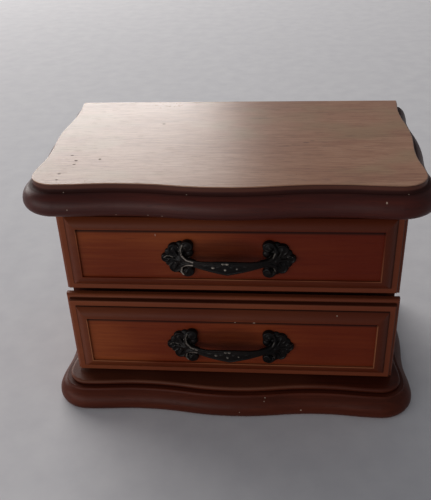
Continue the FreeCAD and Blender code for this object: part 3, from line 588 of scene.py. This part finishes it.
FELT_TONES = ((0.35, seen(84, 14, 22)), (0.5, seen(112, 22, 32)), (0.65, seen(138, 36, 46)))
NAP_SHARE = 0.6
WISP_SHARE = 0.4
FELT_ROUGHNESS = 0.95
FELT_DEPTH = 0.35
FELT_SHEEN = 0.4
FELT_SHEEN_ROUGHNESS = 0.5


def steel():
    """Dull zinc-grey steel with a brushed bloom."""
    shader = Shader("screw_steel")
    bloom = shader.noise(STEEL_BLOOM)
    colour = shader.ramp(bloom, *STEEL_TONES)
    roughness = shader.total(STEEL_ROUGHNESS, shader.times(bloom, STEEL_GLOSS_SPREAD))
    return shader.finish(colour, roughness, bloom, STEEL_DEPTH * MM, Metallic=1.0)


def blackened():
    """Blackened cast metal, rubbed bright on its high spots, with painted highlight along lines of its
    rosettes.
    """
    shader = Shader("pull_metal")
    cast = shader.noise(CAST_GRAIN)
    colour = shader.ramp(shader.noise(PATINA), *BLACK_TONES)
    rubbed_and_lit = shader.add("ShaderNodeAttribute", {}, attribute_name="rubbed_and_lit").outputs["Fac"]
    # Pale where rubbed on sharp edges and at the marked spots, with painted highlight along the marked lines
    paled = shader.highest(shader.times(shader.edge(*RUBBED_EDGE), RUBBED_EDGE_SHARE), rubbed_and_lit)
    paled = shader.times(paled, shader.step(cast, *RUBBED_LIMITS))
    colour = shader.mix(paled, colour, RUBBED_AND_LIT_TONE)
    roughness = shader.total(BLACK_ROUGHNESS, shader.times(cast, BLACK_GLOSS_SPREAD))
    return shader.finish(colour, roughness, cast, CAST_DEPTH * MM, Specular_IOR_Level=BLACK_SPECULAR)


def felt():
    """Short-napped felt."""
    shader = Shader("drawer_felt")
    shade = shader.total(shader.times(shader.noise(FELT_NAP), NAP_SHARE),
                         shader.times(shader.noise(FELT_WISPS), WISP_SHARE))
    colour = shader.ramp(shade, *FELT_TONES)
    return shader.finish(colour, FELT_ROUGHNESS, shade, FELT_DEPTH * MM, Sheen_Weight=FELT_SHEEN,
                         Sheen_Roughness=FELT_SHEEN_ROUGHNESS)


# Mesh pieces
BLOB_SEGMENTS = 28
BLOB_RINGS = 18
TUBE_STEPS = 10
TUBE_SIDES = 14
RIM_SIDES = 10

# Below this a tube runs straight up, and its sides are set out from another axis
UPRIGHT_LIMIT = 0.01


def place_piece(name, mesh, material, body):
    """A mesh object that rides on a body."""
    mesh.materials.clear()
    mesh.materials.append(material)
    for polygon in mesh.polygons:
        polygon.use_smooth = True
    piece = bpy.data.objects.new(name, mesh)
    bpy.context.scene.collection.objects.link(piece)
    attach(piece, body)
    return piece


def mesh_of(name, solid):
    """A solid's mesh. The solid is used up."""
    mesh = bpy.data.meshes.new(name)
    solid.to_mesh(mesh)
    solid.free()
    return mesh


def smooth_path(points, steps):
    """Points of a smooth curve through the given ones, all their values alike."""
    run = [Vector(point) for point in points]
    run = [2 * run[0] - run[1]] + run + [2 * run[-1] - run[-2]]
    path = []
    for before, start, end, after in zip(run, run[1:], run[2:], run[3:]):
        for index in range(steps):
            t = index / steps
            path.append(0.5 * (2 * start + (end - before) * t
                               + (2 * before - 5 * start + 4 * end - after) * t ** 2
                               + (3 * start - before - 3 * end + after) * t ** 3))
    path.append(run[-2])
    return path


def turns(count):
    """Angles evenly spaced round a circle."""
    return [2 * math.pi * index / count for index in range(count)]


def add_skin(solid, rings):
    """Faces between rings of vertices that follow one another, and a face at each end."""
    for first, second in zip(rings, rings[1:]):
        for corner in range(len(first)):
            follower = (corner + 1) % len(first)
            solid.faces.new((first[corner], first[follower], second[follower], second[corner]))
    solid.faces.new(rings[0][::-1])
    solid.faces.new(rings[-1])


def add_blob(solid, centre, radii):
    """A rounded lump."""
    turn = Matrix.Translation(centre) @ Matrix.Diagonal((*radii, 1.0))
    bmesh.ops.create_uvsphere(solid, u_segments=BLOB_SEGMENTS, v_segments=BLOB_RINGS, radius=1.0, matrix=turn)


def add_tube(solid, points, steps=TUBE_STEPS, sides=TUBE_SIDES):
    """A round tube with domed ends through points of place and radius."""
    path = smooth_path(points, steps)
    rings = []
    for index, point in enumerate(path):
        before = path[max(index - 1, 0)]
        after = path[min(index + 1, len(path) - 1)]
        ahead = (after - before).to_3d().normalized()
        side = ahead.cross(Vector((0.0, 0.0, 1.0)))
        if side.length < UPRIGHT_LIMIT:
            side = ahead.cross(Vector((0.0, 1.0, 0.0)))
        side.normalize()
        up = side.cross(ahead)
        centre = point.to_3d()
        radius = point[3]
        rings.append([solid.verts.new(centre + radius * (math.cos(turn) * side + math.sin(turn) * up))
                      for turn in turns(sides)])
    add_skin(solid, rings)
    for end in (path[0], path[-1]):
        add_blob(solid, end.to_3d(), (end[3],) * 3)


# Half of the pull, in millimetres: across from its middle, up, and out from the panel, then a radius or three
LEAF_BLOBS = (
    ((35.0, 0.0, 0.4), (8.6, 9.0, 2.2)),
    ((36.8, 7.2, 0.3), (4.9, 4.9, 2.3)),
    ((36.8, -7.0, 0.3), (4.8, 4.8, 2.3)),
    ((43.0, 0.3, 0.2), (3.6, 3.6, 2.2)),
    ((31.6, 0.0, 1.2), (5.6, 5.4, 4.2)),
    ((27.9, 10.2, 1.2), (4.5, 4.4, 3.4)),
    ((27.9, -10.1, 1.2), (4.5, 4.4, 3.4)),
    ((33.0, 9.8, 0.2), (3.4, 3.4, 2.0)),
    ((33.0, -9.7, 0.2), (3.4, 3.4, 2.0)),
    ((41.0, 4.4, 0.2), (2.9, 3.0, 1.9)),
    ((41.0, -4.0, 0.2), (2.9, 3.0, 1.9)),
    ((26.4, 5.0, 2.2), (2.8, 3.2, 2.6)),
    ((26.6, -5.2, 2.0), (2.6, 3.0, 2.4)),
)
VEINS = (
    ((33.0, 0.0, 4.4, 1.3), (37.5, 0.1, 2.9, 1.0), (43.0, 0.3, 2.3, 0.8)),
    ((33.5, 1.0, 3.8, 1.1), (35.6, 4.4, 2.7, 0.9), (37.4, 8.2, 2.3, 0.7)),
    ((33.5, -1.0, 3.8, 1.1), (35.6, -4.2, 2.7, 0.9), (37.4, -8.0, 2.3, 0.7)),
)
SCROLLS = (
    ((23.0, 0.6, 7.3, 1.9), (28.4, 1.4, 5.6, 1.7), (32.2, 4.6, 4.3, 1.4), (32.4, 9.4, 3.5, 1.2),
     (29.2, 13.2, 3.0, 1.1), (25.4, 12.2, 2.9, 1.1), (24.9, 8.8, 3.1, 1.1), (27.6, 7.6, 3.6, 1.1),
     (28.9, 9.8, 4.0, 1.3)),
    ((23.0, -0.8, 7.3, 1.9), (28.4, -2.0, 5.6, 1.7), (32.2, -4.8, 4.3, 1.4), (32.4, -9.4, 3.5, 1.2),
     (29.2, -13.0, 3.0, 1.1), (25.4, -12.0, 2.9, 1.1), (24.9, -8.8, 3.1, 1.1), (27.6, -7.6, 3.6, 1.1),
     (28.9, -9.8, 4.0, 1.3)),
)

# Raised rims round the leaf's lobes: centre, radius, and the angles between which each runs
LEAF_RIMS = (
    ((36.8, 7.2), 3.7, -60.0, 190.0),
    ((36.8, -7.0), 3.6, -190.0, 60.0),
    ((43.0, 0.3), 2.6, -130.0, 130.0),
)
LEAF_RIM_RADIUS = 0.75
LEAF_RIM_OUT = 2.0
LEAF_RIM_POINTS = 9
LEAF_RIM_STEPS = 4

# The bow from its end to its middle: across, out, upper edge and lower edge
BOW_STATIONS = (
    (32.0, 3.0, 2.3, -2.3),
    (27.5, 5.2, 2.1, -2.3),
    (23.0, 7.4, 1.9, -2.5),
    (17.0, 9.2, 2.1, -3.5),
    (12.0, 9.9, 2.5, -4.7),
    (7.0, 10.3, 2.9, -5.9),
    (3.0, 10.45, 3.1, -6.8),
    (0.0, 10.5, 3.2, -7.4),
)
BOW_EDGES = (2, 3)
BOW_HALF_THICKNESS = 1.7
BOW_STEPS = 6
BOW_SIDES = 24
BOW_ROUNDNESS = 0.8

# The rim along each edge of the bow: its radius, and its place as shares of the edge and the half thickness
BOW_RIM = 0.75
BOW_RIM_EDGE_SHARE = 0.9
BOW_RIM_OUT_SHARE = 0.55

# Raised beads and leaves on the bow: across, up, radii
BOW_BEADS = (
    ((0.1, 1.9), (1.3, 0.5, 0.6)),
    ((-2.6, 1.9), (1.3, 0.5, 0.6)),
    ((-1.3, -2.5), (0.8, 0.8, 0.8)),
    ((6.7, -1.8), (0.7, 0.7, 0.6)),
    ((-9.6, -1.1), (1.1, 0.8, 0.7)),
    ((3.4, -0.9), (1.7, 0.6, 0.4)),
    ((-5.6, -0.9), (1.7, 0.6, 0.4)),
    ((12.6, -0.6), (2.2, 0.5, 0.4)),
    ((-14.0, -0.4), (2.0, 0.5, 0.4)),
)

# Rubbed spots on the bow: across, up, two radii and a strength, and how far out they start
RUBBED_SPOTS = (
    (0.0, 2.0, 1.4, 0.6, 1.0),
    (-2.6, 2.0, 1.4, 0.6, 1.0),
    (-1.3, -2.5, 0.9, 0.9, 1.0),
    (6.7, -1.8, 0.7, 0.7, 0.7),
    (-9.6, -1.1, 1.3, 0.8, 0.9),
)
SPOT_LEVEL = 10.0

# Lines on the rosettes painted pale, as rubbing and painted highlight, stronger on the left: places of across
# and up, then a half width and a strength
RUBBED_AND_LIT_LINES = (
    (((-23.5, 1.0), (-28.4, 1.6), (-31.6, 4.4), (-32.2, 8.4), (-31.0, 11.6)), 0.5, 0.7),
    (((-24.0, -1.4), (-28.4, -2.6), (-31.8, -5.6), (-32.5, -9.4), (-31.2, -12.0)), 0.6, 0.85),
    (((-38.0, 1.2), (-42.0, 2.6), (-44.6, 0.6)), 0.35, 0.4),
    (((30.8, 3.6), (32.2, 6.6)), 0.35, 0.3),
    (((31.2, -4.6), (32.4, -7.8)), 0.35, 0.3),
)

# How much of the rubbing and painted highlight each pull shows
RUBBED_AND_LIT_SHARES = {"upper_drawer": 1.0, "lower_drawer": 0.5}

# The skin drawn over a pull's forms
PULL_VOXEL = 0.3
PULL_SMOOTHING = 3


def bow_out(across):
    """How far out the bow's middle lies at a place across."""
    place = abs(across)
    for (far, far_out, *_), (near, near_out, *_) in zip(BOW_STATIONS, BOW_STATIONS[1:]):
        if near <= place <= far:
            return near_out + (place - near) / (far - near) * (far_out - near_out)
    return BOW_STATIONS[0][1]


def add_bow(solid):
    """The bow as a loft of lens-shaped sections, with a raised rim along both edges."""
    sections = list(BOW_STATIONS)
    sections += [(-across, *rest) for across, *rest in reversed(BOW_STATIONS[:-1])]
    rings = []
    for across, out, upper, lower in smooth_path(sections, BOW_STEPS):
        middle = (upper + lower) / 2
        half = (upper - lower) / 2
        ring = []
        for turn in turns(BOW_SIDES):
            up = math.copysign(abs(math.sin(turn)) ** BOW_ROUNDNESS, math.sin(turn))
            face_out = out + BOW_HALF_THICKNESS * math.cos(turn)
            ring.append(solid.verts.new((across, middle + half * up, face_out)))
        rings.append(ring)
    add_skin(solid, rings)
    for edge in BOW_EDGES:
        rim = [(station[0], station[edge] * BOW_RIM_EDGE_SHARE,
                station[1] + BOW_HALF_THICKNESS * BOW_RIM_OUT_SHARE, BOW_RIM) for station in sections[1:-1]]
        add_tube(solid, rim, BOW_STEPS, RIM_SIDES)
    for (across, up), radii in BOW_BEADS:
        add_blob(solid, (across, up, bow_out(across) + BOW_HALF_THICKNESS), radii)


def add_rosette(solid, side):
    """A three-lobed leaf with dished lobes, and two scrolls that spring from the bow's neck."""
    for (across, up, out), radii in LEAF_BLOBS:
        add_blob(solid, (side * across, up, out), radii)
    for (across, up), radius, start, end in LEAF_RIMS:
        arc = []
        for index in range(LEAF_RIM_POINTS):
            turn = math.radians(start + (end - start) * index / (LEAF_RIM_POINTS - 1))
            arc.append((side * (across + radius * math.cos(turn)), up + radius * math.sin(turn),
                        LEAF_RIM_OUT, LEAF_RIM_RADIUS))
        add_tube(solid, arc, LEAF_RIM_STEPS, RIM_SIDES)
    for line in VEINS + SCROLLS:
        add_tube(solid, [(side * across, up, out, radius) for across, up, out, radius in line])


def distance_to(point, start, end):
    """How far a flat point lies from a line between two others."""
    start = Vector(start)
    run = Vector(end) - start
    share = max(0.0, min(1.0, (point - start).dot(run) / run.dot(run)))
    return (point - start - share * run).length


def fade(reach):
    """Falls from 1 at no reach to 0 at a full one."""
    return math.sqrt(1.0 - min(reach, 1.0))


def rubbing_and_highlight_at(across, up, out):
    """How strongly a place on the pull is painted pale: rubbed spots on the bow, and lines of rubbing and
    painted highlight on the rosettes.
    """
    mark = 0.0
    if out > SPOT_LEVEL:
        for spot_across, spot_up, half_across, half_up, strength in RUBBED_SPOTS:
            reach = math.hypot((across - spot_across) / half_across, (up - spot_up) / half_up)
            mark = max(mark, strength * fade(reach))
    for line, half_width, strength in RUBBED_AND_LIT_LINES:
        reach = min(distance_to(Vector((across, up)), start, end) for start, end in zip(line, line[1:]))
        mark = max(mark, strength * fade(reach / half_width))
    return mark


def pull_mesh():
    """The whole casting as one skin, flat where it meets the panel, with its rubbed spots and painted
    highlight lines marked.
    """
    solid = bmesh.new()
    add_bow(solid)
    for side in (1, -1):
        add_rosette(solid, side)
    skin = bpy.data.objects.new("pull_skin", mesh_of("pull_skin", solid))
    bpy.context.scene.collection.objects.link(skin)
    remesh = skin.modifiers.new("cast", "REMESH")
    remesh.mode = "VOXEL"
    remesh.voxel_size = PULL_VOXEL
    soften = skin.modifiers.new("soften", "SMOOTH")
    soften.iterations = PULL_SMOOTHING
    shaped = bpy.data.meshes.new_from_object(skin.evaluated_get(bpy.context.evaluated_depsgraph_get()))
    bpy.data.objects.remove(skin)
    rubbed_and_lit = shaped.attributes.new("rubbed_and_lit", "FLOAT", "POINT")
    for vertex in shaped.vertices:
        across, up, out = vertex.co
        vertex.co.z = max(out, 0.0)
        rubbed_and_lit.data[vertex.index].value = rubbing_and_highlight_at(across, up, out)
    return shaped


def hang_pulls(material):
    """A pull on each drawer front, in place of the plain one."""
    shaped = pull_mesh()
    upright = Matrix.Rotation(math.pi / 2, 4, "X") @ Matrix.Scale(MM, 4)
    for body, rubbed_and_lit_share in RUBBED_AND_LIT_SHARES.items():
        screws_low, screws_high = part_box(f"{body}_pull_screws")
        pull_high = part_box(f"{body}_pull")[1]
        mesh = shaped.copy()
        place = Matrix.Translation((0.0, pull_high.y, (screws_low.z + screws_high.z) / 2))
        mesh.transform(place @ upright)
        for mark in mesh.attributes["rubbed_and_lit"].data:
            mark.value *= rubbed_and_lit_share
        pull = place_piece(f"{body}_cast_pull", mesh, material, body)
        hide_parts(f"{body}_pull")
    bpy.data.meshes.remove(shaped)


# Felt linings: the grid, how far the edges round down, and the slight unevenness
FELT_COLUMNS = 84
FELT_ROWS = 40
FELT_EDGE_SHARE = 0.45
FELT_RIPPLE = 0.12
FELT_WAVES = (61.0, 83.0)
FELT_WAVE_START = 1.0


def lay_felt(material):
    """A sheet of felt on each drawer bottom, with soft edges and a slight unevenness."""
    half_unit = 0.5
    across_waves, deep_waves = FELT_WAVES
    for body in DRAWERS:
        low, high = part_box(f"{body}_lining")
        solid = bmesh.new()
        spread = (high.x - low.x, high.y - low.y)
        turn = Matrix.Translation(((low.x + high.x) / 2, (low.y + high.y) / 2, low.z))
        bmesh.ops.create_grid(solid, x_segments=FELT_COLUMNS, y_segments=FELT_ROWS, size=half_unit,
                              matrix=turn @ Matrix.Diagonal((*spread, 1.0, 1.0)))
        lifted = bmesh.ops.extrude_face_region(solid, geom=solid.faces[:])
        raised = [item for item in lifted["geom"] if isinstance(item, bmesh.types.BMVert)]
        thickness = high.z - low.z
        for vertex in raised:
            edge = min(vertex.co.x - low.x, high.x - vertex.co.x, vertex.co.y - low.y, high.y - vertex.co.y)
            round_off = max(0.0, 1.0 - edge / (2 * thickness)) ** 2
            ripple = math.sin(vertex.co.x * across_waves)
            ripple *= math.sin(vertex.co.y * deep_waves + FELT_WAVE_START)
            vertex.co.z += thickness * (1.0 - FELT_EDGE_SHARE * round_off) - FELT_RIPPLE * MM * (1.0 + ripple)
        bmesh.ops.recalc_face_normals(solid, faces=solid.faces)
        piece = place_piece(f"{body}_felt", mesh_of(f"{body}_felt", solid), material, body)
        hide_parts(f"{body}_lining")


# Dressing


def dress(node, material):
    """Give a carried-over node its material."""
    mesh = frame["nodes"][node].data
    mesh.materials.clear()
    mesh.materials.append(material)


dress("top_board", top_wood())
dress("base_board", base_wood())
for node in FRONT_SEEDS:
    dress(node, front_wood(node))
for node in ("left_side", "right_side", "back_panel"):
    dress(node, plain_wood(node))
inner_cross = plain_wood("inner_cross")
inner_deep = plain_wood("inner_deep")
inner_stained = plain_wood("inner_stained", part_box("divider_shelf")[0].y)
for node in ("divider_shelf", "front_top_rail", "rear_top_rail"):
    dress(node, inner_stained)
for body in DRAWERS:
    for part in ("back", "bottom"):
        dress(f"{body}_{part}", inner_cross)
    for part in ("left_side", "right_side"):
        dress(f"{body}_{part}", inner_deep)
screw_steel = steel()
for node in ("top_screws", "base_screws", "back_nails", *[f"{body}_pull_screws" for body in DRAWERS]):
    dress(node, screw_steel)
hang_pulls(blackened())
lay_felt(felt())


# Stage and light, in metres and watts
FLOOR_RADIUS = 2.0
FLOOR_CORNERS = 128
FLOOR_ROUGHNESS = 0.9
FLOOR_TONES = ((0.3, seen(214, 212, 215)), (0.7, seen(222, 220, 222)))
SKY_COLOUR = (0.9, 0.94, 1.0, 1.0)
SKY_STRENGTH = 0.22

# Lamps: place, target, width, height, power and colour
LAMPS = {
    "window": ((-2.72, 3.83, 1.68), (0.0, 0.0, 0.15), 5.44, 2.38, 255.0, (1.0, 0.97, 0.94)),
    "room": ((-2.9, -3.1, 0.68), (0.0, 0.0, 0.1), 6.8, 1.28, 82.0, (1.0, 0.98, 0.97)),
}


def floor():
    """A round pale floor."""
    solid = bmesh.new()
    bmesh.ops.create_circle(solid, cap_ends=True, segments=FLOOR_CORNERS, radius=FLOOR_RADIUS)
    mesh = mesh_of("floor", solid)
    shader = Shader("floor_pale")
    colour = shader.ramp(shader.noise(FLOOR_WEAVE), *FLOOR_TONES)
    mesh.materials.append(shader.finish(colour, FLOOR_ROUGHNESS))
    plane = bpy.data.objects.new("floor", mesh)
    bpy.context.scene.collection.objects.link(plane)


def soft_lamp(name, place, target, width, height, power, colour):
    """A large soft lamp that the camera doesn't see."""
    lamp = bpy.data.lights.new(name, "AREA")
    lamp.shape = "RECTANGLE"
    lamp.size = width
    lamp.size_y = height
    lamp.energy = power
    lamp.color = colour
    holder = bpy.data.objects.new(name, lamp)
    holder.location = place
    holder.rotation_euler = (Vector(target) - Vector(place)).to_track_quat("-Z", "Y").to_euler()
    holder.visible_camera = False
    bpy.context.scene.collection.objects.link(holder)


def world():
    """An even dim sky."""
    sky = bpy.data.worlds.new("studio")
    bpy.context.scene.world = sky
    sky.use_nodes = True
    background = sky.node_tree.nodes["Background"]
    background.inputs["Color"].default_value = SKY_COLOUR
    background.inputs["Strength"].default_value = SKY_STRENGTH


def photo_camera():
    """The camera at the photograph's place and angle."""
    yaw = Matrix.Rotation(CAMERA_YAW, 3, "Z")
    dip = Matrix.Rotation(-CAMERA_DIP, 3, "X")
    roll = Matrix.Rotation(CAMERA_ROLL, 3, "Y")
    right, ahead, up = (yaw @ dip @ roll).col
    lens = bpy.data.cameras.new("photo_camera")
    lens.sensor_width = SENSOR_WIDTH
    lens.lens = FOCAL_PIXELS / PHOTO_LONG_SIDE * SENSOR_WIDTH
    lens.clip_start = CAMERA_NEAR * MM
    camera = bpy.data.objects.new("photo_camera", lens)
    turn = Matrix((right, up, -ahead)).transposed()
    camera.matrix_world = Matrix.Translation(Vector(CAMERA_PLACE) * MM) @ turn.to_4x4()
    bpy.context.scene.collection.objects.link(camera)
    bpy.context.scene.camera = camera


floor()
world()
for name, settings in LAMPS.items():
    soft_lamp(name, *settings)
photo_camera()
bpy.context.scene.view_settings.view_transform = "Standard"
